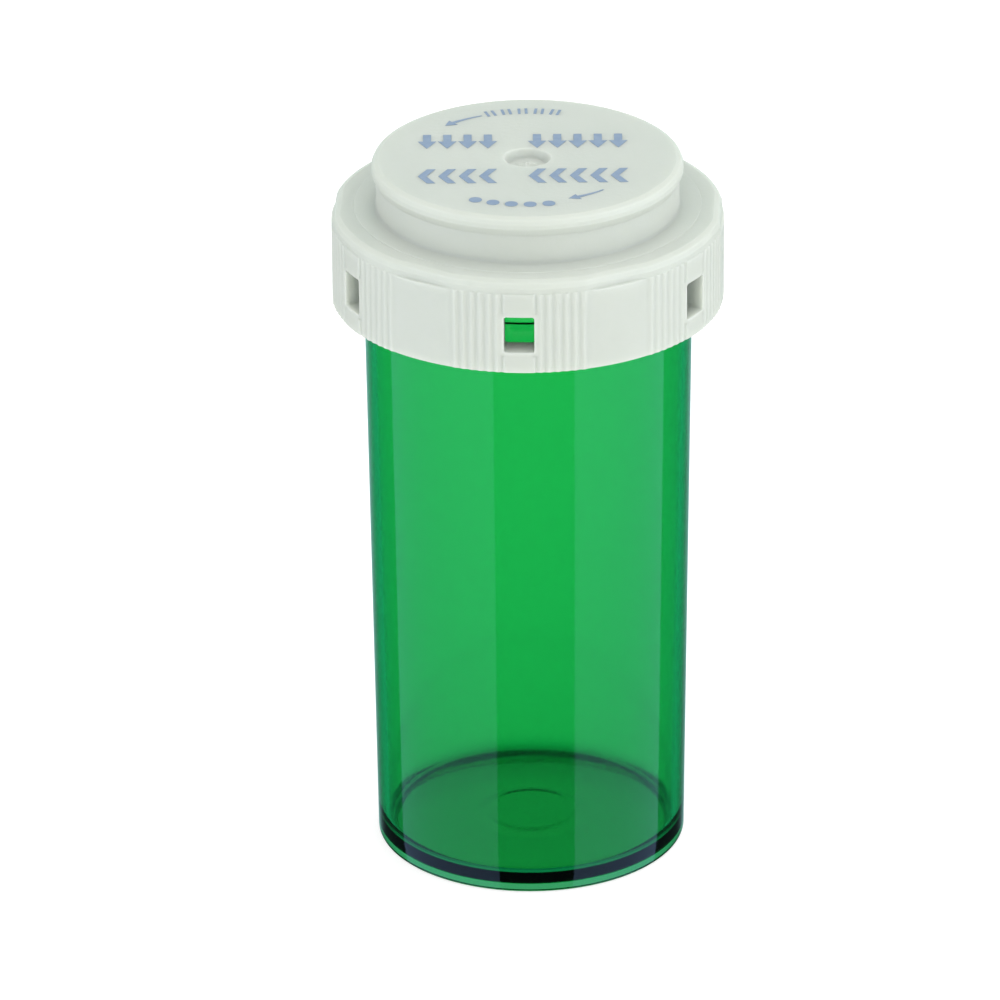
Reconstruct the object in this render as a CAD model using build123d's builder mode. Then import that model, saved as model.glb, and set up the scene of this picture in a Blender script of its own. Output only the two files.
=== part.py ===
"""Prescription vial with a reversible child-resistant cap, in millimetres.

The origin is the centre of the base, +Z is up and the front faces -Y.
The cap is modelled pressed home, with the vial's lugs in the gaps between its catches.
A clockwise turn then carries its seats under the lugs, until the window blocks stop them.
"""

import os
from math import cos, radians

from build123d import *

os.makedirs("parts", exist_ok=True)

# Overall
TOTAL_HEIGHT = 82.5
RIM_HEIGHT = 75.0
LUG_COUNT = 6
PITCH_ANGLE = 360 / LUG_COUNT
FIRST_WINDOW_ANGLE = -92.9

# Vial wall, floor and foot
BASE_RADIUS = 17.4
NECK_RADIUS = 18.36
MOUTH_RADIUS = 17.35
RIM_ROUNDING = 0.3
FLOOR_TOP = 1.7
FLOOR_RADIUS = 16.2
FLOOR_ROUNDING = 1.5
FOOT_HEIGHT = 0.75
FOOT_INNER_RADIUS = 16.2
FOOT_ROUNDING = 0.3
GATE_WELL_DEPTH = 0.25
GATE_WELL_RADIUS = 4.9
GATE_BUMP_RADIUS = 4.7
GATE_SLOPE = 1.4

# Collar round the vial's neck, and the lugs on it
COLLAR_RADIUS = 18.6
COLLAR_BOTTOM = 67.2
COLLAR_TOP = 70.3
COLLAR_SLOPE = 0.35
LUG_ANGLE = 17.0
LUG_RADIUS = 20.1
LUG_ROOT_RADIUS = 17.9
LUG_BOTTOM = 68.5
LUG_TOP = 71.5
LUG_ROUNDING = 0.5

# Cap skirt, and the flange with a flat over each smooth stretch of the skirt
SKIRT_RADIUS = 21.75
SKIRT_INNER_RADIUS = 20.4
SKIRT_BOTTOM = 66.2
FLANGE_TOP = 77.05
FLANGE_UNDERSIDE = 75.85
FLANGE_ROUNDING = 0.8
FLAT_ANGLE = 20.2

# Raised disc of the cap, which plugs into the mouth when the cap is turned over
DISC_WALL_RADIUS = 16.8
DISC_INNER_RADIUS = 15.5
DISC_UNDERSIDE = 81.2
BEAD_RADIUS = 17.25
BEAD_BOTTOM = 80.3
BEAD_UNDERCUT = 0.5
SHOULDER_ROUNDING = 0.8
GATE_DIMPLE_RADIUS = 2.6
GATE_DIMPLE_FLOOR_RADIUS = 2.15
GATE_DIMPLE_DEPTH = 1.0
GATE_BOSS_RADIUS = 3.6

# Grip ribs, smooth panels and windows on the skirt
RIBS_PER_SIDE = 6
RIB_PITCH_ANGLE = 2.55
FIRST_RIB_ANGLE = 5.9
RIB_RADIUS = 0.32
RIB_RELIEF = 0.12
RIB_TOP = 75.5
PANEL_ANGLE = 9.2
PANEL_RADIUS = 21.88
WINDOW_WIDTH = 3.35
WINDOW_BOTTOM = 68.6
WINDOW_TOP = 72.8
WINDOW_ROUNDING = 0.3

# Catches inside the skirt: a lip, a seat and a window block follow each gap
BLOCK_ANGLE = 18.0
BLOCK_RADIUS = 18.85
BLOCK_TOP = 74.5
SEAT_ANGLE = 20.0
SEAT_TOP = 67.3
LIP_ANGLE = 3.0
LIP_TOP = 68.3
BEDDING = 0.4

# Spring disc
SPRING_GAP = 0.12
SPRING_THICKNESS = 0.6
SPRING_OUTER_RADIUS = 19.7
SPRING_LAND_RADIUS = 15.1
SPRING_CROWN_RADIUS = 4.0
SPRING_RISE = 2.6
SPRING_ROUNDING = 1.0
SEAL_OUTER_RADIUS = 17.1
SEAL_INNER_RADIUS = 16.6
SEAL_DEPTH = 1.2

# Where each of these starts, counterclockwise from +X
block_start = FIRST_WINDOW_ANGLE - BLOCK_ANGLE / 2
seat_start = block_start - SEAT_ANGLE
lip_start = seat_start - LIP_ANGLE
gap_angle = PITCH_ANGLE - BLOCK_ANGLE - SEAT_ANGLE - LIP_ANGLE
lug_start = lip_start - (gap_angle + LUG_ANGLE) / 2
panel_start = FIRST_WINDOW_ANGLE - PANEL_ANGLE / 2
flat_middle = FIRST_WINDOW_ANGLE + PITCH_ANGLE / 2


def ring_segment(inner_radius, outer_radius, bottom, top, sweep_angle):
    """An arc of a ring of rectangular section about the Z axis, from +X counterclockwise."""
    with BuildPart() as segment:
        with BuildSketch(Plane.XZ):
            with Locations((inner_radius, bottom)):
                Rectangle(outer_radius - inner_radius, top - bottom, align=(Align.MIN, Align.MIN))
        revolve(axis=Axis.Z, revolution_arc=sweep_angle)
    return segment.part


def wall_radius(height):
    """Outer radius of the vial's drafted wall."""
    return BASE_RADIUS + (NECK_RADIUS - BASE_RADIUS) * height / RIM_HEIGHT


def round_corner(section, corner, radius):
    """Rounds the corner of the section that is nearest to (radius from the axis, height)."""
    fillet(section.vertices().sort_by_distance(corner)[0], radius)


# Vial: a drafted tube with a floor on a foot ring, a neck collar and six lugs

with BuildPart() as lug:
    add(ring_segment(LUG_ROOT_RADIUS, LUG_RADIUS, LUG_BOTTOM, LUG_TOP, LUG_ANGLE))
    outer_corners = lug.edges().filter_by(Axis.Z).sort_by_distance((0, 0, LUG_BOTTOM))[-2:]
    fillet(outer_corners, LUG_ROUNDING)

with BuildPart() as vial:
    with BuildSketch(Plane.XZ) as vial_section:
        with BuildLine():
            Polyline(
                (0, FOOT_HEIGHT + GATE_WELL_DEPTH),
                (GATE_WELL_RADIUS, FOOT_HEIGHT + GATE_WELL_DEPTH),
                (GATE_WELL_RADIUS + GATE_SLOPE, FOOT_HEIGHT),
                (FOOT_INNER_RADIUS, FOOT_HEIGHT),
                (FOOT_INNER_RADIUS, 0),
                (BASE_RADIUS, 0),
                (wall_radius(COLLAR_BOTTOM - COLLAR_SLOPE), COLLAR_BOTTOM - COLLAR_SLOPE),
                (COLLAR_RADIUS, COLLAR_BOTTOM),
                (COLLAR_RADIUS, COLLAR_TOP),
                (NECK_RADIUS, COLLAR_TOP + COLLAR_SLOPE),
                (NECK_RADIUS, RIM_HEIGHT),
                (MOUTH_RADIUS, RIM_HEIGHT),
                (FLOOR_RADIUS, FLOOR_TOP),
                (GATE_BUMP_RADIUS + GATE_SLOPE, FLOOR_TOP),
                (GATE_BUMP_RADIUS, FLOOR_TOP + GATE_WELL_DEPTH),
                (0, FLOOR_TOP + GATE_WELL_DEPTH),
                close=True,
            )
        make_face()
        round_corner(vial_section, (BASE_RADIUS, 0), FOOT_ROUNDING)
        round_corner(vial_section, (FLOOR_RADIUS, FLOOR_TOP), FLOOR_ROUNDING)
        round_corner(vial_section, (NECK_RADIUS, RIM_HEIGHT), RIM_ROUNDING)
        round_corner(vial_section, (MOUTH_RADIUS, RIM_HEIGHT), RIM_ROUNDING)
    revolve(axis=Axis.Z)
    with PolarLocations(0, LUG_COUNT, start_angle=lug_start):
        add(lug.part)

vial.part.label = "vial"
export_step(vial.part, "parts/vial.step")


# Spring disc: a domed liner with a seal that hangs inside the vial's mouth

land_bottom = RIM_HEIGHT + SPRING_GAP
land_top = land_bottom + SPRING_THICKNESS

with BuildPart() as spring_disc:
    with BuildSketch(Plane.XZ) as spring_section:
        with BuildLine():
            Polyline(
                (0, land_bottom + SPRING_RISE),
                (SPRING_CROWN_RADIUS, land_bottom + SPRING_RISE),
                (SPRING_LAND_RADIUS, land_bottom),
                (SEAL_INNER_RADIUS, land_bottom),
                (SEAL_INNER_RADIUS, land_bottom - SEAL_DEPTH),
                (SEAL_OUTER_RADIUS, land_bottom - SEAL_DEPTH),
                (SEAL_OUTER_RADIUS, land_bottom),
                (SPRING_OUTER_RADIUS, land_bottom),
                (SPRING_OUTER_RADIUS, land_top),
                (SPRING_LAND_RADIUS, land_top),
                (SPRING_CROWN_RADIUS, land_top + SPRING_RISE),
                (0, land_top + SPRING_RISE),
                close=True,
            )
        make_face()
        for radius, rise in ((SPRING_LAND_RADIUS, 0), (SPRING_CROWN_RADIUS, SPRING_RISE)):
            round_corner(spring_section, (radius, land_bottom + rise), SPRING_ROUNDING)
            round_corner(spring_section, (radius, land_top + rise), SPRING_ROUNDING)
    revolve(axis=Axis.Z)

spring_disc.part.label = "spring_disc"
export_step(spring_disc.part, "parts/spring_disc.step")


# Cap: a skirt with ribs, windows and catches, under a flange and a raised plug disc

block = ring_segment(BLOCK_RADIUS, SKIRT_INNER_RADIUS + BEDDING, SKIRT_BOTTOM, BLOCK_TOP, BLOCK_ANGLE)
seat = ring_segment(BLOCK_RADIUS, SKIRT_INNER_RADIUS + BEDDING, SKIRT_BOTTOM, SEAT_TOP, SEAT_ANGLE)
lip = ring_segment(BLOCK_RADIUS, SKIRT_INNER_RADIUS + BEDDING, SKIRT_BOTTOM, LIP_TOP, LIP_ANGLE)
panel = ring_segment(SKIRT_RADIUS - BEDDING, PANEL_RADIUS, SKIRT_BOTTOM, RIB_TOP, PANEL_ANGLE)

with BuildPart() as window_cutter:
    with BuildSketch(Plane.YZ.offset(BLOCK_RADIUS - BEDDING)):
        with Locations((0, (WINDOW_BOTTOM + WINDOW_TOP) / 2)):
            RectangleRounded(WINDOW_WIDTH, WINDOW_TOP - WINDOW_BOTTOM, WINDOW_ROUNDING)
    extrude(amount=PANEL_RADIUS - BLOCK_RADIUS + 2 * BEDDING)

with BuildPart() as flat_cutter:
    with BuildSketch(Plane.YZ.offset(SKIRT_RADIUS * cos(radians(FLAT_ANGLE / 2)))):
        with Locations((0, FLANGE_TOP)):
            Rectangle(SKIRT_RADIUS, 2 * (FLANGE_TOP - RIB_TOP))
    extrude(amount=SKIRT_RADIUS)

with BuildPart() as cap:
    with BuildSketch(Plane.XZ) as cap_section:
        with BuildLine():
            Polyline(
                (0, TOTAL_HEIGHT - GATE_DIMPLE_DEPTH),
                (GATE_DIMPLE_FLOOR_RADIUS, TOTAL_HEIGHT - GATE_DIMPLE_DEPTH),
                (GATE_DIMPLE_RADIUS, TOTAL_HEIGHT),
                (BEAD_RADIUS, TOTAL_HEIGHT),
                (BEAD_RADIUS, BEAD_BOTTOM + BEAD_UNDERCUT),
                (DISC_WALL_RADIUS, BEAD_BOTTOM),
                (DISC_WALL_RADIUS, FLANGE_TOP),
                (SKIRT_RADIUS, FLANGE_TOP),
                (SKIRT_RADIUS, SKIRT_BOTTOM),
                (SKIRT_INNER_RADIUS, SKIRT_BOTTOM),
                (SKIRT_INNER_RADIUS, FLANGE_UNDERSIDE),
                (DISC_INNER_RADIUS, FLANGE_UNDERSIDE),
                (DISC_INNER_RADIUS, DISC_UNDERSIDE),
                (GATE_BOSS_RADIUS, DISC_UNDERSIDE),
                (GATE_BOSS_RADIUS, DISC_UNDERSIDE - GATE_DIMPLE_DEPTH),
                (0, DISC_UNDERSIDE - GATE_DIMPLE_DEPTH),
                close=True,
            )
        make_face()
        round_corner(cap_section, (BEAD_RADIUS, TOTAL_HEIGHT), SHOULDER_ROUNDING)
        round_corner(cap_section, (SKIRT_RADIUS, FLANGE_TOP), FLANGE_ROUNDING)
    revolve(axis=Axis.Z)
    with BuildSketch(Plane.XY.offset(SKIRT_BOTTOM)):
        for side in (-1, 1):
            for rib in range(RIBS_PER_SIDE):
                rib_angle = FIRST_WINDOW_ANGLE + side * (FIRST_RIB_ANGLE + rib * RIB_PITCH_ANGLE)
                with PolarLocations(SKIRT_RADIUS - RIB_RADIUS + RIB_RELIEF, LUG_COUNT, start_angle=rib_angle):
                    Circle(RIB_RADIUS)
    extrude(amount=RIB_TOP - SKIRT_BOTTOM)
    with PolarLocations(0, LUG_COUNT, start_angle=panel_start):
        add(panel)
    with PolarLocations(0, LUG_COUNT, start_angle=block_start):
        add(block)
    with PolarLocations(0, LUG_COUNT, start_angle=seat_start):
        add(seat)
    with PolarLocations(0, LUG_COUNT, start_angle=lip_start):
        add(lip)
    with PolarLocations(0, LUG_COUNT, start_angle=FIRST_WINDOW_ANGLE):
        add(window_cutter.part, mode=Mode.SUBTRACT)
    with PolarLocations(0, LUG_COUNT, start_angle=flat_middle):
        add(flat_cutter.part, mode=Mode.SUBTRACT)

cap.part.label = "cap"
export_step(cap.part, "parts/cap.step")
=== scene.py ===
import math

import bmesh
import bpy
from mathutils import Matrix, Vector


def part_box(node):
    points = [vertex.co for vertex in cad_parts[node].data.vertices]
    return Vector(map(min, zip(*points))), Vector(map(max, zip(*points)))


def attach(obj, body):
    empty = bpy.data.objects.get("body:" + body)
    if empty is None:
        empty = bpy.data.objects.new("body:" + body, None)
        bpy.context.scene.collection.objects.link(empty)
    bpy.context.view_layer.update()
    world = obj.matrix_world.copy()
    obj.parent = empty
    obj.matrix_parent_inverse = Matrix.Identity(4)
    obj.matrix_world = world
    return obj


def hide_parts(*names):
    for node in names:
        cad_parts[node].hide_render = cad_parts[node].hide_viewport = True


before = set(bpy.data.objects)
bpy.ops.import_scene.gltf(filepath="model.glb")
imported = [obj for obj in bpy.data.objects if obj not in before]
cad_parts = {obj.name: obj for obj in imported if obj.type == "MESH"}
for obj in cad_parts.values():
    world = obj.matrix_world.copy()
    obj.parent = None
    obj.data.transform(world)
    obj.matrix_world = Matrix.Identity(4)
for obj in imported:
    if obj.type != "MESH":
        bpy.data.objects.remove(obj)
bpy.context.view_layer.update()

MM = 0.001
WORLD_STRENGTH = 1.0
ROOM_STRENGTH = 0.05
BACKDROP_STRENGTH = 0.6

# ---- Sizes, in millimetres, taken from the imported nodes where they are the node's own extent ----

vial_low, vial_high = (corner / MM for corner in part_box("vial"))
cap_low, cap_high = (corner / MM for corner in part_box("cap"))
disc_low, disc_high = (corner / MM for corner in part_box("spring_disc"))

PITCH = 60.0
PITCHES = 6
WINDOW_ANGLE = -92.9

RIM_HEIGHT = vial_high.z
BASE_RADIUS = 17.4
NECK_RADIUS = 18.36
FLOOR_TOP = 1.7
FOOT_HEIGHT = 0.75
FOOT_INNER_RADIUS = 16.2
FLOOR_RADIUS = 16.2
FLOOR_ROUNDING = 1.5
MOUTH_RADIUS = 17.35
GATE_RISE = 0.25
GATE_WELL_RADIUS = 4.9
GATE_WELL_EDGE = 6.3
GATE_BUMP_RADIUS = 4.7
GATE_BUMP_EDGE = 6.1
GATE_SOFTNESS = 2.5
COLLAR_RADIUS = 18.6
COLLAR_BOTTOM = 67.2
LUG_RADIUS = 20.1
LUG_ANGLE = -44.4 - 90.0
LUG_HALF_ANGLE = 8.5
LUG_BOTTOM = 68.5
LUG_TOP = 71.5
LUG_EDGE = 0.12

SPRING_HEIGHT = 3.2
SPRING_THICKNESS = 0.6
SPRING_LAND_RADIUS = 15.1
SPRING_CROWN_RADIUS = 4.0
SPRING_ROUNDING = 1.0
SEAL_INNER_RADIUS = 16.6
SEAL_OUTER_RADIUS = 17.1

SKIRT_RADIUS = 21.75
SKIRT_INNER_RADIUS = 20.4
SKIRT_BOTTOM = cap_low.z
CAP_TOP = cap_high.z
TOP_FACE = CAP_TOP - 0.02
DIMPLE_FLOOR = CAP_TOP - 1.0
DIMPLE_RADIUS = 2.6
DIMPLE_FLOOR_RADIUS = 2.15
FLANGE_TOP = 77.05
FLANGE_UNDERSIDE = 75.85
RIB_TOP = 75.5
RIB_RELIEF = 0.12
RIB_PITCH = 2.55
RIBS_START = 4.95
RIBS_END = 19.9
FLAT_HALF_ANGLE = 10.1
PANEL_HALF_ANGLE = 4.6
PANEL_RELIEF = 0.12
DISC_WALL_RADIUS = 16.8
BEAD_RADIUS = 17.25
BLOCK_RADIUS = 18.85
BLOCK_TOP = 74.5
BLOCK_HALF_ANGLE = 9
SEAT_TOP = 67.3
SEAT_START_ANGLE = 8
SEAT_END_ANGLE = 29
DISC_UNDERSIDE = 81.2
DISC_INNER_RADIUS = 15.5
BOSS_RADIUS = 3.6
BOSS_UNDERSIDE = 80.2
GATE_MARK_RADIUS = 1.9
LIP_TOP = 68.3
LIP_END_ANGLE = 32

# Lumps of torn plastic on the dimple's floor: x, y, rise and width
GATE_LUMPS = (
    (0.1, 0.25, 0.3, 0.5),
    (-0.15, -0.45, 0.16, 0.35),
    (0.75, 0.1, 0.2, 0.3),
    (-0.9, 0.2, 0.14, 0.3),
)

PRINT_DEPTH = 0.04
PRESS_ROW = 4.5
TURN_ROW = -5.2
SIGN_HEIGHT = 3.9
SIGN_PITCH = 2.25
MARK_RING = 13.1
BAR_WIDTH = 0.32

WINDOW_HALF_WIDTH = 1.675
WINDOW_BOTTOM = 68.6
WINDOW_TOP = 72.8
WINDOW_ROUNDING = 0.3
WINDOW_BEVEL = 0.09
WINDOW_MARGIN = 0.45


# ---- Mesh helpers ----

def rounded(corners, steps=5):
    """Points (r, z) of an outline given by corners (r, z, rounding)."""
    points = []
    for index, (r, z, rounding) in enumerate(corners):
        corner = Vector((r, z))
        if rounding == 0:
            points.append(corner)
            continue
        to_before = (Vector(corners[index - 1][:2]) - corner).normalized()
        to_after = (Vector(corners[index + 1][:2]) - corner).normalized()
        half_angle = to_before.angle(to_after) / 2
        centre = corner + (to_before + to_after).normalized() * rounding / math.sin(half_angle)
        start = corner + to_before * rounding / math.tan(half_angle) - centre
        end = corner + to_after * rounding / math.tan(half_angle) - centre
        turn = start.angle_signed(end)
        for step in range(steps + 1):
            arm = start.copy()
            arm.rotate(Matrix.Rotation(-turn * step / steps, 2))
            points.append(centre + arm)
    return points


def with_heights(points, heights, min_radius):
    """The outline with an extra point at each height that an upright run outside min_radius passes."""
    made = [points[0]]
    for before, after in zip(points, points[1:]):
        low, high = sorted((before.y, after.y))
        if min(before.x, after.x) > min_radius and high - low > 0.2:
            inside = sorted((h for h in heights if low + 0.01 < h < high - 0.01), reverse=after.y < before.y)
            for height in inside:
                made.append(before.lerp(after, (height - before.y) / (after.y - before.y)))
        made.append(after)
    return made


def step_up(value, edge, width):
    """0 below the edge, 1 above it, smooth over the width."""
    t = min(1.0, max(0.0, (value - edge) / width + 0.5))
    return t * t * (3 - 2 * t)


def plateau(value, low, high, width):
    """1 between low and high, 0 outside, smooth over the width at each end."""
    return step_up(value, low, width) * (1 - step_up(value, high, width))


def in_pitch(angle, centre):
    """The angle from the nearest of the six places that centre is one of, in degrees."""
    return (angle - centre + PITCH / 2) % PITCH - PITCH / 2


def turned(shell, outline, angles, shaped, keep=lambda ring, line: True):
    """Adds a turned surface to the bmesh and returns its rings of vertices."""
    rings = []
    for r, z in outline:
        if r < 1e-6:
            rings.append([shell.verts.new((0, 0, z * MM))])
            continue
        ring = []
        for angle in angles:
            radius, height = shaped(r, z, angle)
            around = math.radians(angle)
            place = (radius * math.cos(around) * MM, radius * math.sin(around) * MM, height * MM)
            ring.append(shell.verts.new(place))
        rings.append(ring)
    lines = len(angles)
    for index, (before, after) in enumerate(zip(rings, rings[1:])):
        for line in range(lines):
            following = (line + 1) % lines
            if not keep(index, line):
                continue
            if len(before) == 1:
                shell.faces.new((before[0], after[line], after[following]))
            elif len(after) == 1:
                shell.faces.new((before[line], after[0], before[following]))
            else:
                shell.faces.new((before[line], after[line], after[following], before[following]))
    return rings


def finished(shell, name, sharp_angle=50):
    """Turns the bmesh into an object with smooth shading."""
    bmesh.ops.recalc_face_normals(shell, faces=shell.faces)
    mesh = bpy.data.meshes.new(name)
    shell.to_mesh(mesh)
    shell.free()
    mesh.shade_smooth()
    mesh.set_sharp_from_angle(angle=math.radians(sharp_angle))
    piece = bpy.data.objects.new(name, mesh)
    bpy.context.scene.collection.objects.link(piece)
    return piece


def even_angles(count):
    return [360 * index / count for index in range(count)]


# ---- Materials ----

def new_material(name):
    material = bpy.data.materials.new(name)
    material.use_nodes = True
    nodes = material.node_tree.nodes
    return material, nodes, material.node_tree.links, nodes["Principled BSDF"], nodes["Material Output"]


def noise_node(nodes, links, scale, detail=3.0, stretch=(1, 1, 1)):
    place = nodes.new("ShaderNodeTexCoord")
    mapping = nodes.new("ShaderNodeMapping")
    mapping.inputs["Scale"].default_value = stretch
    links.new(place.outputs["Object"], mapping.inputs["Vector"])
    texture = nodes.new("ShaderNodeTexNoise")
    texture.inputs["Scale"].default_value = scale
    texture.inputs["Detail"].default_value = detail
    links.new(mapping.outputs["Vector"], texture.inputs["Vector"])
    return texture


def ranged(nodes, links, output, low, high):
    """Maps an output that runs from 0 to 1 to the range low to high."""
    remap = nodes.new("ShaderNodeMapRange")
    remap.inputs["To Min"].default_value = low
    remap.inputs["To Max"].default_value = high
    links.new(output, remap.inputs["Value"])
    return remap.outputs["Result"]


def bumped(nodes, links, output, distance, strength=1.0, after=None):
    bump = nodes.new("ShaderNodeBump")
    bump.inputs["Strength"].default_value = strength
    bump.inputs["Distance"].default_value = distance
    links.new(output, bump.inputs["Height"])
    if after is not None:
        links.new(after, bump.inputs["Normal"])
    return bump.outputs["Normal"]


def green_plastic():
    """Clear green polypropylene: tinted glass with absorption, faint flow lines and handling haze."""
    material, nodes, links, shader, output = new_material("green_polypropylene")
    shader.inputs["Base Color"].default_value = (0.5, 0.86, 0.385, 1)
    shader.inputs["Transmission Weight"].default_value = 1.0
    shader.inputs["IOR"].default_value = 1.49
    haze = noise_node(nodes, links, 90, stretch=(1, 1, 0.25))
    links.new(ranged(nodes, links, haze.outputs["Fac"], 0.02, 0.09), shader.inputs["Roughness"])
    flow = noise_node(nodes, links, 160, stretch=(1, 1, 0.08))
    links.new(bumped(nodes, links, flow.outputs["Fac"], 0.00002), shader.inputs["Normal"])
    absorption = nodes.new("ShaderNodeVolumeAbsorption")
    absorption.inputs["Color"].default_value = (0.007, 0.793, 0.721, 1)
    absorption.inputs["Density"].default_value = 1500
    links.new(absorption.outputs["Volume"], output.inputs["Volume"])
    return material


def white_plastic():
    """White polypropylene: satin and slightly translucent, with faint mottling and fine moulding grain."""
    material, nodes, links, shader, _ = new_material("white_polypropylene")
    mottle = noise_node(nodes, links, 60, detail=5)
    colours = nodes.new("ShaderNodeMix")
    colours.data_type = "RGBA"
    colours.inputs["A"].default_value = (0.465, 0.50, 0.455, 1)
    colours.inputs["B"].default_value = (0.50, 0.53, 0.485, 1)
    links.new(mottle.outputs["Fac"], colours.inputs["Factor"])
    links.new(colours.outputs["Result"], shader.inputs["Base Color"])
    shader.inputs["Subsurface Weight"].default_value = 0.8
    shader.inputs["Subsurface Radius"].default_value = (1.0, 1.0, 0.9)
    shader.inputs["Subsurface Scale"].default_value = 0.0022
    shader.inputs["IOR"].default_value = 1.49
    sheen = noise_node(nodes, links, 220, detail=4)
    links.new(ranged(nodes, links, sheen.outputs["Fac"], 0.36, 0.56), shader.inputs["Roughness"])
    grain = noise_node(nodes, links, 1800, detail=4)
    links.new(bumped(nodes, links, grain.outputs["Fac"], 0.00002), shader.inputs["Normal"])
    return material


def natural_plastic():
    """Uncoloured low-density polyethylene: waxy and cloudy."""
    material, nodes, links, shader, _ = new_material("natural_polyethylene")
    cloud = noise_node(nodes, links, 120, detail=4)
    colours = nodes.new("ShaderNodeMix")
    colours.data_type = "RGBA"
    colours.inputs["A"].default_value = (0.78, 0.8, 0.76, 1)
    colours.inputs["B"].default_value = (0.86, 0.87, 0.84, 1)
    links.new(cloud.outputs["Fac"], colours.inputs["Factor"])
    links.new(colours.outputs["Result"], shader.inputs["Base Color"])
    shader.inputs["Subsurface Weight"].default_value = 0.6
    shader.inputs["Subsurface Scale"].default_value = 0.0015
    links.new(ranged(nodes, links, cloud.outputs["Fac"], 0.3, 0.5), shader.inputs["Roughness"])
    grain = noise_node(nodes, links, 900)
    links.new(bumped(nodes, links, grain.outputs["Fac"], 0.00002), shader.inputs["Normal"])
    return material


def ink():
    """Thin blue-grey print, a little uneven."""
    material, nodes, links, shader, _ = new_material("blue_grey_ink")
    cover = noise_node(nodes, links, 1400, detail=3)
    colours = nodes.new("ShaderNodeMix")
    colours.data_type = "RGBA"
    colours.inputs["A"].default_value = (0.17, 0.24, 0.36, 1)
    colours.inputs["B"].default_value = (0.26, 0.33, 0.43, 1)
    links.new(cover.outputs["Fac"], colours.inputs["Factor"])
    links.new(colours.outputs["Result"], shader.inputs["Base Color"])
    shader.inputs["Roughness"].default_value = 0.5
    return material


# ---- Vial ----

def vial_shape(r, z, angle):
    """Carries the neck's outer surface out to the lugs."""
    if r < COLLAR_RADIUS - 0.4:
        return r, z
    lug = plateau(in_pitch(angle, LUG_ANGLE), -LUG_HALF_ANGLE, LUG_HALF_ANGLE, 1.0)
    lug *= plateau(z, LUG_BOTTOM + LUG_EDGE, LUG_TOP - LUG_EDGE, 0.24)
    return r + (LUG_RADIUS - r) * lug, z


def make_vial():
    outline = rounded([
        (0, FOOT_HEIGHT + GATE_RISE, 0),
        (GATE_WELL_RADIUS, FOOT_HEIGHT + GATE_RISE, GATE_SOFTNESS),
        (GATE_WELL_EDGE, FOOT_HEIGHT, GATE_SOFTNESS),
        (FOOT_INNER_RADIUS, FOOT_HEIGHT, 0.2),
        (FOOT_INNER_RADIUS, 0.0, 0.15),
        (BASE_RADIUS, 0.0, 0.35),
        (18.255, 66.85, 0.3),
        (COLLAR_RADIUS, COLLAR_BOTTOM, 0.15),
        (COLLAR_RADIUS, 70.55, 0.08),
        (18.15, 70.63, 0.08),
        (NECK_RADIUS, 71.7, 0.3),
        (NECK_RADIUS, RIM_HEIGHT, 0.35),
        (MOUTH_RADIUS, RIM_HEIGHT, 0.35),
        (FLOOR_RADIUS, FLOOR_TOP, FLOOR_ROUNDING),
        (GATE_BUMP_EDGE, FLOOR_TOP, GATE_SOFTNESS),
        (GATE_BUMP_RADIUS, FLOOR_TOP + GATE_RISE, GATE_SOFTNESS),
        (0, FLOOR_TOP + GATE_RISE, 0),
    ])
    lug_edges = (LUG_BOTTOM + LUG_EDGE, LUG_TOP - LUG_EDGE)
    lug_heights = [edge + 0.06 * step for edge in lug_edges for step in range(-3, 4)]
    wall_heights = [4.0 * step for step in range(1, 17)]
    outline = with_heights(outline, lug_heights + wall_heights, BASE_RADIUS - 0.1)
    # Rings up the inner wall too: without them its smooth normals are wrong and the vial's edges go black
    inner_heights = wall_heights + [FLOOR_TOP + 2.0, RIM_HEIGHT - 1.0]
    outline = with_heights(outline, inner_heights, FLOOR_RADIUS - 0.1)
    angles = set(even_angles(288))
    for pitch in range(PITCHES):
        for side in (-1, 1):
            edge = LUG_ANGLE + pitch * PITCH + side * LUG_HALF_ANGLE
            angles.update(round((edge + 0.2 * step) % 360, 4) for step in range(-4, 5))
    shell = bmesh.new()
    turned(shell, outline, sorted(angles), vial_shape)
    return finished(shell, "vial_body")


# ---- Spring disc ----

def make_spring_disc():
    land_bottom = disc_high.z - SPRING_HEIGHT
    land_top = land_bottom + SPRING_THICKNESS
    crown = disc_high.z
    outline = rounded([
        (0, crown - SPRING_THICKNESS, 0),
        (SPRING_CROWN_RADIUS, crown - SPRING_THICKNESS, SPRING_ROUNDING),
        (SPRING_LAND_RADIUS, land_bottom, SPRING_ROUNDING),
        (SEAL_INNER_RADIUS, land_bottom, 0.1),
        (SEAL_INNER_RADIUS, disc_low.z, 0.12),
        (SEAL_OUTER_RADIUS, disc_low.z, 0.12),
        (SEAL_OUTER_RADIUS, land_bottom, 0.1),
        (disc_high.x, land_bottom, 0.15),
        (disc_high.x, land_top, 0.15),
        (SPRING_LAND_RADIUS, land_top, SPRING_ROUNDING),
        (SPRING_CROWN_RADIUS, crown, SPRING_ROUNDING),
        (0, crown, 0),
    ])
    shell = bmesh.new()
    turned(shell, outline, even_angles(180), lambda r, z, angle: (r, z))
    return finished(shell, "spring_disc_body")


# ---- Cap ----

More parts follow.
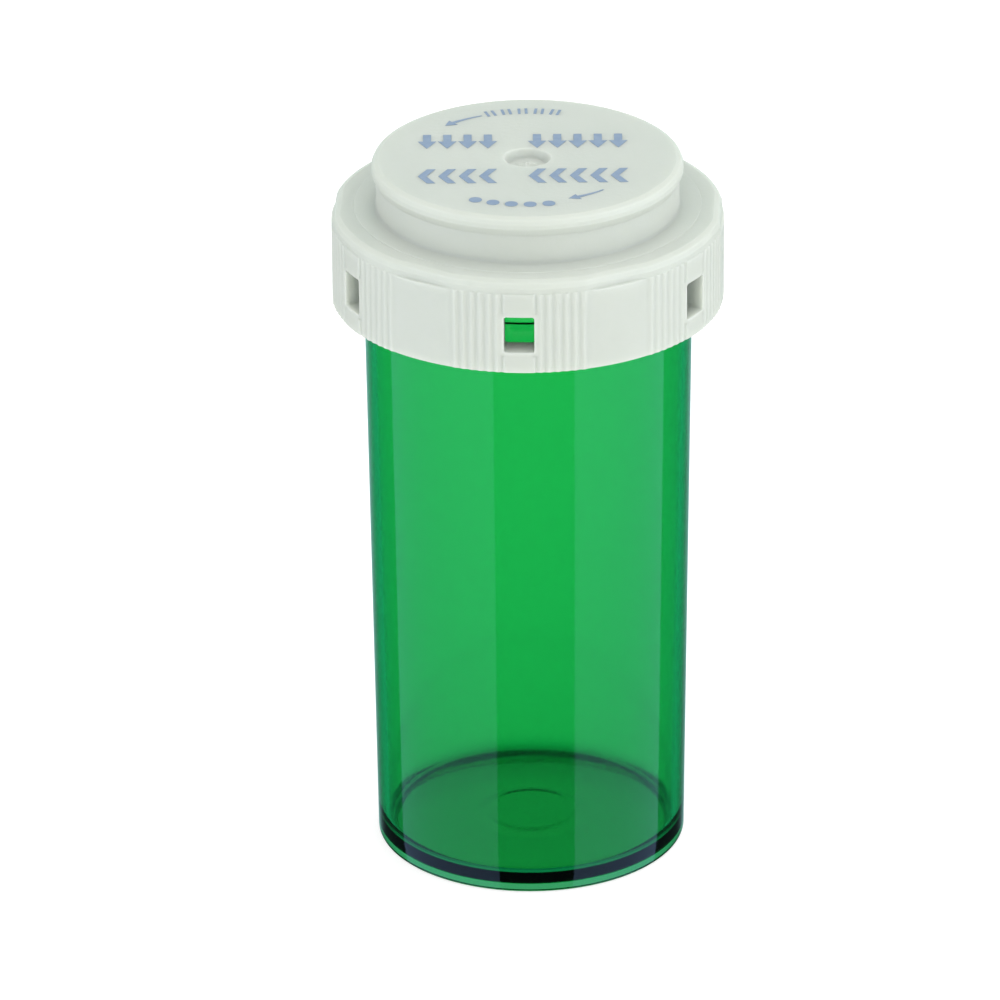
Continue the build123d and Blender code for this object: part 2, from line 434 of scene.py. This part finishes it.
def outer_skirt(z, angle):
    """How far ribs and window panels stand out of the skirt, and the flats cut in above them."""
    offset = in_pitch(angle, WINDOW_ANGLE)
    flange = step_up(z, RIB_TOP, 0.18)
    panel = PANEL_RELIEF * plateau(offset, -PANEL_HALF_ANGLE, PANEL_HALF_ANGLE, 0.3)
    into_ribs = abs(offset) - RIBS_START
    wave = 0.5 - 0.5 * math.cos(2 * math.pi * into_ribs / RIB_PITCH)
    ribs = RIB_RELIEF * wave * plateau(abs(offset), RIBS_START, RIBS_END, 0.3)
    from_flat = min(FLAT_HALF_ANGLE, abs(in_pitch(angle, WINDOW_ANGLE + PITCH / 2)))
    flat_radius = SKIRT_RADIUS * math.cos(math.radians(FLAT_HALF_ANGLE)) / math.cos(math.radians(from_flat))
    return (1 - flange) * (panel + ribs) - flange * (SKIRT_RADIUS - flat_radius)


def inner_skirt(z, angle):
    """How far the window blocks, seats and lips stand into the cap."""
    offset = in_pitch(angle, WINDOW_ANGLE)
    behind = (-offset) % PITCH
    depth = SKIRT_INNER_RADIUS - BLOCK_RADIUS
    block = plateau(offset, -BLOCK_HALF_ANGLE, BLOCK_HALF_ANGLE, 0.5) * (1 - step_up(z, BLOCK_TOP, 0.3))
    seat = plateau(behind, SEAT_START_ANGLE, SEAT_END_ANGLE, 0.5) * (1 - step_up(z, SEAT_TOP, 0.3))
    lip = plateau(behind, SEAT_END_ANGLE, LIP_END_ANGLE, 0.5) * (1 - step_up(z, LIP_TOP, 0.3))
    return depth * max(block, seat, lip)


def gate_mark(r, angle):
    """Height of the torn plastic that the gate left on the dimple's floor."""
    x, y = r * math.cos(math.radians(angle)), r * math.sin(math.radians(angle))
    height = 0
    for lump_x, lump_y, rise, width in GATE_LUMPS:
        height += rise * math.exp(-((x - lump_x) ** 2 + (y - lump_y) ** 2) / width ** 2)
    return height


def cap_shape(r, z, angle):
    if r < GATE_MARK_RADIUS and z > DISC_UNDERSIDE:
        return r, z + gate_mark(r, angle)
    if r < SKIRT_INNER_RADIUS - 0.3:
        return r, z
    if r < (SKIRT_RADIUS + SKIRT_INNER_RADIUS) / 2 and z < FLANGE_UNDERSIDE + 0.2:
        return r - inner_skirt(z, angle), z
    return r + outer_skirt(z, angle), z


def rounded_window(across, up):
    """Moves a point on the window's square outline onto its rounded one."""
    corner_x = WINDOW_HALF_WIDTH - WINDOW_ROUNDING
    corner_y = (WINDOW_TOP - WINDOW_BOTTOM) / 2 - WINDOW_ROUNDING
    if abs(across) <= corner_x or abs(up) <= corner_y:
        return across, up
    arm = Vector((abs(across) - corner_x, abs(up) - corner_y)).normalized() * WINDOW_ROUNDING
    return math.copysign(corner_x + arm.x, across), math.copysign(corner_y + arm.y, up)


def window_loop(patch, grow, radius):
    """Places for one loop of a window, from its patch's perimeter points as fractions."""
    middle = (WINDOW_BOTTOM + WINDOW_TOP) / 2
    half_height = (WINDOW_TOP - WINDOW_BOTTOM) / 2
    places = []
    for across, up in patch:
        x, y = rounded_window(across * WINDOW_HALF_WIDTH, up * half_height)
        x += math.copysign(grow, x) * min(1, abs(x) / (WINDOW_HALF_WIDTH - WINDOW_ROUNDING))
        y += math.copysign(grow, y) * min(1, abs(y) / (half_height - WINDOW_ROUNDING))
        depth = math.sqrt(radius * radius - x * x)
        places.append((x, depth, middle + y))
    return places


def make_cap():
    across_steps = [0, 0.35, 0.65, 0.821, 0.9, 1.0]
    up_steps = [0, 0.3, 0.6, 0.857, 0.93, 1.0]
    middle = (WINDOW_BOTTOM + WINDOW_TOP) / 2
    half_height = (WINDOW_TOP - WINDOW_BOTTOM) / 2 + WINDOW_MARGIN
    half_angle = math.degrees((WINDOW_HALF_WIDTH + WINDOW_MARGIN) / SKIRT_RADIUS)
    across_all = sorted({side * step for side in (-1, 1) for step in across_steps})
    up_all = sorted({side * step for side in (-1, 1) for step in up_steps})

    outline = rounded([
        (0, DIMPLE_FLOOR, 0),
        *[(0.2 * step, DIMPLE_FLOOR, 0) for step in range(1, 10)],
        (DIMPLE_FLOOR_RADIUS, DIMPLE_FLOOR, 0.25),
        (DIMPLE_RADIUS, TOP_FACE, 0.25),
        (16.45, TOP_FACE, 0.12),
        (17.02, 82.22, 0.4),
        (BEAD_RADIUS, 81.7, 0.3),
        (BEAD_RADIUS, 81.2, 0.3),
        (DISC_WALL_RADIUS, 80.3, 0.6),
        (DISC_WALL_RADIUS, FLANGE_TOP, 0.35),
        (19.2, FLANGE_TOP, 0.05),
        (19.25, FLANGE_TOP - 0.05, 0.05),
        (20.95, FLANGE_TOP - 0.05, 0.12),
        (21.52, 76.7, 0.35),
        (SKIRT_RADIUS, 76.15, 0.3),
        (SKIRT_RADIUS, SKIRT_BOTTOM, 0.12),
        (SKIRT_INNER_RADIUS, SKIRT_BOTTOM, 0.12),
        (SKIRT_INNER_RADIUS, FLANGE_UNDERSIDE, 0.3),
        (DISC_INNER_RADIUS, FLANGE_UNDERSIDE, 0.3),
        (DISC_INNER_RADIUS, DISC_UNDERSIDE, 0.3),
        (BOSS_RADIUS, DISC_UNDERSIDE, 0.3),
        (BOSS_RADIUS, BOSS_UNDERSIDE, 0.2),
        (0, BOSS_UNDERSIDE, 0),
    ])
    catch_heights = [edge + 0.075 * step for edge in (SEAT_TOP, LIP_TOP, BLOCK_TOP) for step in range(-2, 3)]
    rib_heights = [RIB_TOP + 0.045 * step for step in range(-2, 3)]
    window_heights = [middle + up * half_height for up in up_all]
    outline = with_heights(outline, catch_heights + rib_heights + window_heights, SKIRT_INNER_RADIUS - 0.3)

    pitch_lines = {across * half_angle for across in across_all}
    for side in (-1, 1):
        pitch_lines.update(side * (PANEL_HALF_ANGLE + 0.15 * step) for step in range(-1, 2))
        pitch_lines.update(side * (RIBS_START + 0.15 + RIB_PITCH / 6 * step) for step in range(36))
        pitch_lines.update(side * (21.5 + 1.5 * step) for step in range(6))
    for edge in (-SEAT_END_ANGLE, -LIP_END_ANGLE):
        pitch_lines.update(edge + 0.25 * step for step in range(-1, 2))
    angles = []
    for pitch in range(PITCHES):
        angles.extend(round((WINDOW_ANGLE + pitch * PITCH + line) % 360, 4) for line in pitch_lines)
    angles = sorted(set(angles))

    offsets = [in_pitch(angle, WINDOW_ANGLE) for angle in angles]
    tolerance = 1e-3

    def in_window(index, line):
        before, after = outline[index], outline[index + 1]
        upright = min(before.x, after.x) > SKIRT_INNER_RADIUS - 0.01 and abs(before.x - after.x) < 0.01
        low, high = sorted((before.y, after.y))
        if not upright or low < middle - half_height - tolerance or high > middle + half_height + tolerance:
            return False
        following = offsets[(line + 1) % len(offsets)]
        return -half_angle - tolerance < offsets[line] < following < half_angle + tolerance

    shell = bmesh.new()
    rings = turned(shell, outline, angles, cap_shape, lambda index, line: not in_window(index, line))

    patch = [(across, 1.0) for across in across_all]
    patch += [(1.0, up) for up in reversed(up_all[:-1])]
    patch += [(across, -1.0) for across in reversed(across_all[:-1])]
    patch += [(-1.0, up) for up in up_all[1:-1]]
    outer_radius = SKIRT_RADIUS + PANEL_RELIEF
    wall_of = {"outer": SKIRT_RADIUS, "inner": SKIRT_INNER_RADIUS}

    def grid_vertex(side, across, up, window):
        height = middle + up * half_height
        index = min(
            (i for i, point in enumerate(outline) if abs(point.x - wall_of[side]) < 0.01),
            key=lambda i: abs(outline[i].y - height),
        )
        angle = (window + across * half_angle) % 360
        line = min(range(len(angles)), key=lambda i: abs((angles[i] - angle + 180) % 360 - 180))
        return rings[index][line]

    for pitch in range(PITCHES):
        window = WINDOW_ANGLE + pitch * PITCH
        facing = math.radians(window)
        out = Vector((math.cos(facing), math.sin(facing), 0))
        along = Vector((-math.sin(facing), math.cos(facing), 0))
        loops = [[grid_vertex("outer", across, up, window) for across, up in patch]]
        for grow, radius in (
            (WINDOW_BEVEL, outer_radius),
            (WINDOW_BEVEL * 0.3, outer_radius - WINDOW_BEVEL * 0.3),
            (0, outer_radius - WINDOW_BEVEL),
            (0, (outer_radius + BLOCK_RADIUS) / 2),
            (0, BLOCK_RADIUS + WINDOW_BEVEL),
            (WINDOW_BEVEL * 0.3, BLOCK_RADIUS + WINDOW_BEVEL * 0.3),
            (WINDOW_BEVEL, BLOCK_RADIUS),
        ):
            loop = []
            for x, depth, height in window_loop(patch, grow, radius):
                place = out * depth + along * x
                loop.append(shell.verts.new((place.x * MM, place.y * MM, height * MM)))
            loops.append(loop)
        loops.append([grid_vertex("inner", across, up, window) for across, up in patch])
        count = len(patch)
        for before, after in zip(loops, loops[1:]):
            for index in range(count):
                following = (index + 1) % count
                shell.faces.new((before[index], before[following], after[following], after[index]))
    return finished(shell, "cap_body")


# ---- Print on the cap ----

def printed(shell, outline, centre, turn=0.0):
    """Adds a flat stamp with the outline (x, y), turned about its own origin and set at the centre."""
    spin = Matrix.Rotation(math.radians(turn), 2)
    points = [spin @ Vector(point) + Vector(centre) for point in outline]
    loops = []
    for height in (CAP_TOP - PRINT_DEPTH, CAP_TOP):
        loops.append([shell.verts.new((point.x * MM, point.y * MM, height * MM)) for point in points])
    bottom, top = loops
    shell.faces.new(top)
    shell.faces.new(list(reversed(bottom)))
    for index in range(len(points)):
        following = (index + 1) % len(points)
        shell.faces.new((bottom[index], bottom[following], top[following], top[index]))


def press_arrow(width, height):
    """An arrow that points down the page."""
    stem, neck = width * 0.22, height * 0.02
    return [
        (-stem, height / 2), (stem, height / 2), (stem, neck), (width / 2, neck),
        (0, -height / 2), (-width / 2, neck), (-stem, neck),
    ]


def turn_chevron(width, height):
    """A chevron that points to the left."""
    stroke = width * 0.48
    return [
        (width / 2, height / 2), (stroke - width / 2, 0), (width / 2, -height / 2),
        (width / 2 - stroke, -height / 2), (-width / 2, 0), (width / 2 - stroke, height / 2),
    ]


def disc_outline(radius, count=20):
    turns = [math.tau * index / count for index in range(count)]
    return [(radius * math.cos(turn), radius * math.sin(turn)) for turn in turns]


def arc_arrow(radius, start, end, steps=12):
    """A curved arrow from start to end, in degrees, whose line grows towards its head."""
    way = math.copysign(1, end - start)
    neck = end - way * 5.5
    outer, inner = [], []
    for step in range(steps + 1):
        share = step / steps
        around = math.radians(start + (neck - start) * share)
        half = 0.1 + 0.14 * share
        outer.append(((radius + half) * math.cos(around), (radius + half) * math.sin(around)))
        inner.append(((radius - half) * math.cos(around), (radius - half) * math.sin(around)))
    at_neck, at_end = math.radians(neck), math.radians(end)
    reaches = (radius + 0.75, radius - 0.75)
    head = [(reach * math.cos(at_neck), reach * math.sin(at_neck)) for reach in reaches]
    tip = (radius * math.cos(at_end), radius * math.sin(at_end))
    return outer + [head[0], tip, head[1]] + list(reversed(inner))


def upright_bar(left, right, half_height):
    return [(left, -half_height), (right, -half_height), (right, half_height), (left, half_height)]


def make_print():
    """Generic signs: press-down arrows, turn chevrons, and an arrow each to the open and closed marks."""
    shell = bmesh.new()
    press, turning = press_arrow(2.05, SIGN_HEIGHT), turn_chevron(1.95, SIGN_HEIGHT)
    for row_y, sign in ((PRESS_ROW, press), (TURN_ROW, turning)):
        for first_x, count in ((-11.1, 4), (1.1, 5)):
            for index in range(count):
                printed(shell, sign, (first_x + SIGN_PITCH * index, row_y))
    for turn in (76, 84, 92, 100, 108):
        around = math.radians(turn)
        place = (MARK_RING * math.cos(around), MARK_RING * math.sin(around))
        half = 0.55
        for left, right in ((-half, -half + BAR_WIDTH), (half - BAR_WIDTH, half)):
            printed(shell, upright_bar(left, right, half + 0.2), place, turn - 90)
    for turn in (-116, -107, -98, -89, -80):
        around = math.radians(turn)
        printed(shell, disc_outline(0.72), (MARK_RING * math.cos(around), MARK_RING * math.sin(around)))
    printed(shell, arc_arrow(12.85, 113, 135), (0, 0))
    printed(shell, arc_arrow(12.4, -48, -69), (0, 0))
    return finished(shell, "cap_print", sharp_angle=30)


# ---- Stage, lights and camera ----

def make_stage():
    mesh = bpy.data.meshes.new("floor")
    floor_half = 4.0
    corners = [(x * floor_half, y * floor_half, 0) for x, y in ((-1, -1), (1, -1), (1, 1), (-1, 1))]
    mesh.from_pydata(corners, [], [(0, 1, 2, 3)])
    floor = bpy.data.objects.new("floor", mesh)
    bpy.context.scene.collection.objects.link(floor)
    material, _, _, shader, _ = new_material("pale_floor")
    shader.inputs["Base Color"].default_value = (0.55, 0.55, 0.55, 1)
    shader.inputs["Emission Color"].default_value = (1, 1, 1, 1)
    shader.inputs["Emission Strength"].default_value = 0.55
    shader.inputs["Roughness"].default_value = 0.9
    shader.inputs["Specular IOR Level"].default_value = 0.1
    mesh.materials.append(material)
    floor.visible_glossy = False


def area_light(name, place, target, size, power, colour=(1, 1, 1), mirrored=True, lights_matt=True):
    light = bpy.data.lights.new(name, "AREA")
    light.color = colour
    light.shape = "RECTANGLE"
    light.size, light.size_y = size
    light.energy = power
    holder = bpy.data.objects.new(name, light)
    bpy.context.scene.collection.objects.link(holder)
    holder.location = place
    holder.rotation_mode = "QUATERNION"
    holder.rotation_quaternion = (Vector(target) - Vector(place)).to_track_quat("-Z", "Y")
    holder.visible_camera = False
    holder.visible_transmission = False
    holder.visible_glossy = mirrored
    holder.visible_diffuse = lights_matt


def make_world():
    """Even white light from all round, which mirror-like surfaces see as a dim room."""
    world = bpy.data.worlds.new("studio")
    world.use_nodes = True
    nodes, links = world.node_tree.nodes, world.node_tree.links
    white = nodes["Background"]
    white.inputs["Color"].default_value = (1, 1, 1, 1)
    white.inputs["Strength"].default_value = WORLD_STRENGTH
    dim = nodes.new("ShaderNodeBackground")
    dim.inputs["Color"].default_value = (0.5, 1.0, 0.95, 1)
    way = nodes.new("ShaderNodeTexCoord")
    parts = nodes.new("ShaderNodeSeparateXYZ")
    links.new(way.outputs["Generated"], parts.inputs["Vector"])
    behind = nodes.new("ShaderNodeMapRange")
    behind.inputs["From Min"].default_value = 0.70
    behind.inputs["From Max"].default_value = 0.90
    links.new(parts.outputs["Y"], behind.inputs["Value"])
    eased = nodes.new("ShaderNodeMath")
    eased.operation = "POWER"
    eased.inputs[1].default_value = 2.5
    links.new(behind.outputs["Result"], eased.inputs[0])
    strength = nodes.new("ShaderNodeMath")
    strength.operation = "MULTIPLY_ADD"
    strength.inputs[1].default_value = BACKDROP_STRENGTH
    strength.inputs[2].default_value = ROOM_STRENGTH
    links.new(eased.outputs["Value"], strength.inputs[0])
    links.new(strength.outputs["Value"], dim.inputs["Strength"])
    ray = nodes.new("ShaderNodeLightPath")
    not_through = nodes.new("ShaderNodeMath")
    not_through.operation = "SUBTRACT"
    not_through.use_clamp = True
    links.new(ray.outputs["Is Glossy Ray"], not_through.inputs[0])
    links.new(ray.outputs["Is Transmission Ray"], not_through.inputs[1])
    mix = nodes.new("ShaderNodeMixShader")
    links.new(not_through.outputs["Value"], mix.inputs["Fac"])
    links.new(white.outputs["Background"], mix.inputs[1])
    links.new(dim.outputs["Background"], mix.inputs[2])
    links.new(mix.outputs["Shader"], nodes["World Output"].inputs["Surface"])
    bpy.context.scene.world = world


def side_softbox(name, near_azimuth, far_azimuth, distance, radiance, **settings):
    """An upright panel that fills the azimuths, counted from the camera's side, right positive."""
    ends = []
    for azimuth in (near_azimuth, far_azimuth):
        around = math.radians(azimuth)
        ends.append(Vector((math.sin(around), -math.cos(around), 0)) * distance)
    middle = (ends[0] + ends[1]) / 2
    width = (ends[1] - ends[0]).length
    height = 1.6
    area_light(name, middle, (0, 0, 0), (width, height), radiance * width * height * math.pi, **settings)


def make_lights():
    make_world()
    cool = (0.4, 0.6, 1.0)
    side_softbox("right_reflection", 32, 110, 0.6, 1.0, colour=cool, lights_matt=False)
    side_softbox("left_reflection", -25, -113, 0.6, 0.85, colour=cool, lights_matt=False)
    side_softbox("right_fill", 50, 120, 0.7, 1.1, mirrored=False)
    side_softbox("left_fill", -40, -120, 0.7, 0.4, mirrored=False)
    side_softbox("front_fill", -40, 40, 0.8, 1.0, mirrored=False)
    area_light("top_light", (0.05, 0.34, 0.94), (0, 0, 0.08), (0.3, 0.3), 1.5, mirrored=False)


def make_camera():
    """A long lens looking along +Y and down, rolled a little."""
    elevation = math.radians(25.27)
    roll = math.radians(-0.43)
    distance = 1011.2
    aside, below = 3.30, 0.57
    middle = Vector((0, 0, 41.25))
    ahead = Vector((0, math.cos(elevation), -math.sin(elevation)))
    level = Vector((1, 0, 0))
    upright = Vector((0, math.sin(elevation), math.cos(elevation)))
    right = level * math.cos(roll) + upright * math.sin(roll)
    up = upright * math.cos(roll) - level * math.sin(roll)
    lens = bpy.data.cameras.new("camera")
    lens.lens = 324
    lens.clip_start = 0.05
    camera = bpy.data.objects.new("camera", lens)
    bpy.context.scene.collection.objects.link(camera)
    place = (middle - ahead * distance - right * aside - up * below) * MM
    axes = Matrix((right, up, -ahead)).transposed().to_4x4()
    camera.matrix_world = Matrix.Translation(place) @ axes
    bpy.context.scene.camera = camera


# ---- Assembly ----

vial = make_vial()
vial.data.materials.append(green_plastic())
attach(vial, "vial")
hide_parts("vial")

spring_disc = make_spring_disc()
spring_disc.data.materials.append(natural_plastic())
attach(spring_disc, "spring_disc")
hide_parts("spring_disc")

cap = make_cap()
cap.data.materials.append(white_plastic())
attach(cap, "cap")
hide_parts("cap")

cap_print = make_print()
cap_print.data.materials.append(ink())
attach(cap_print, "cap")

make_stage()
make_lights()
make_camera()
bpy.context.scene.view_settings.view_transform = "Standard"
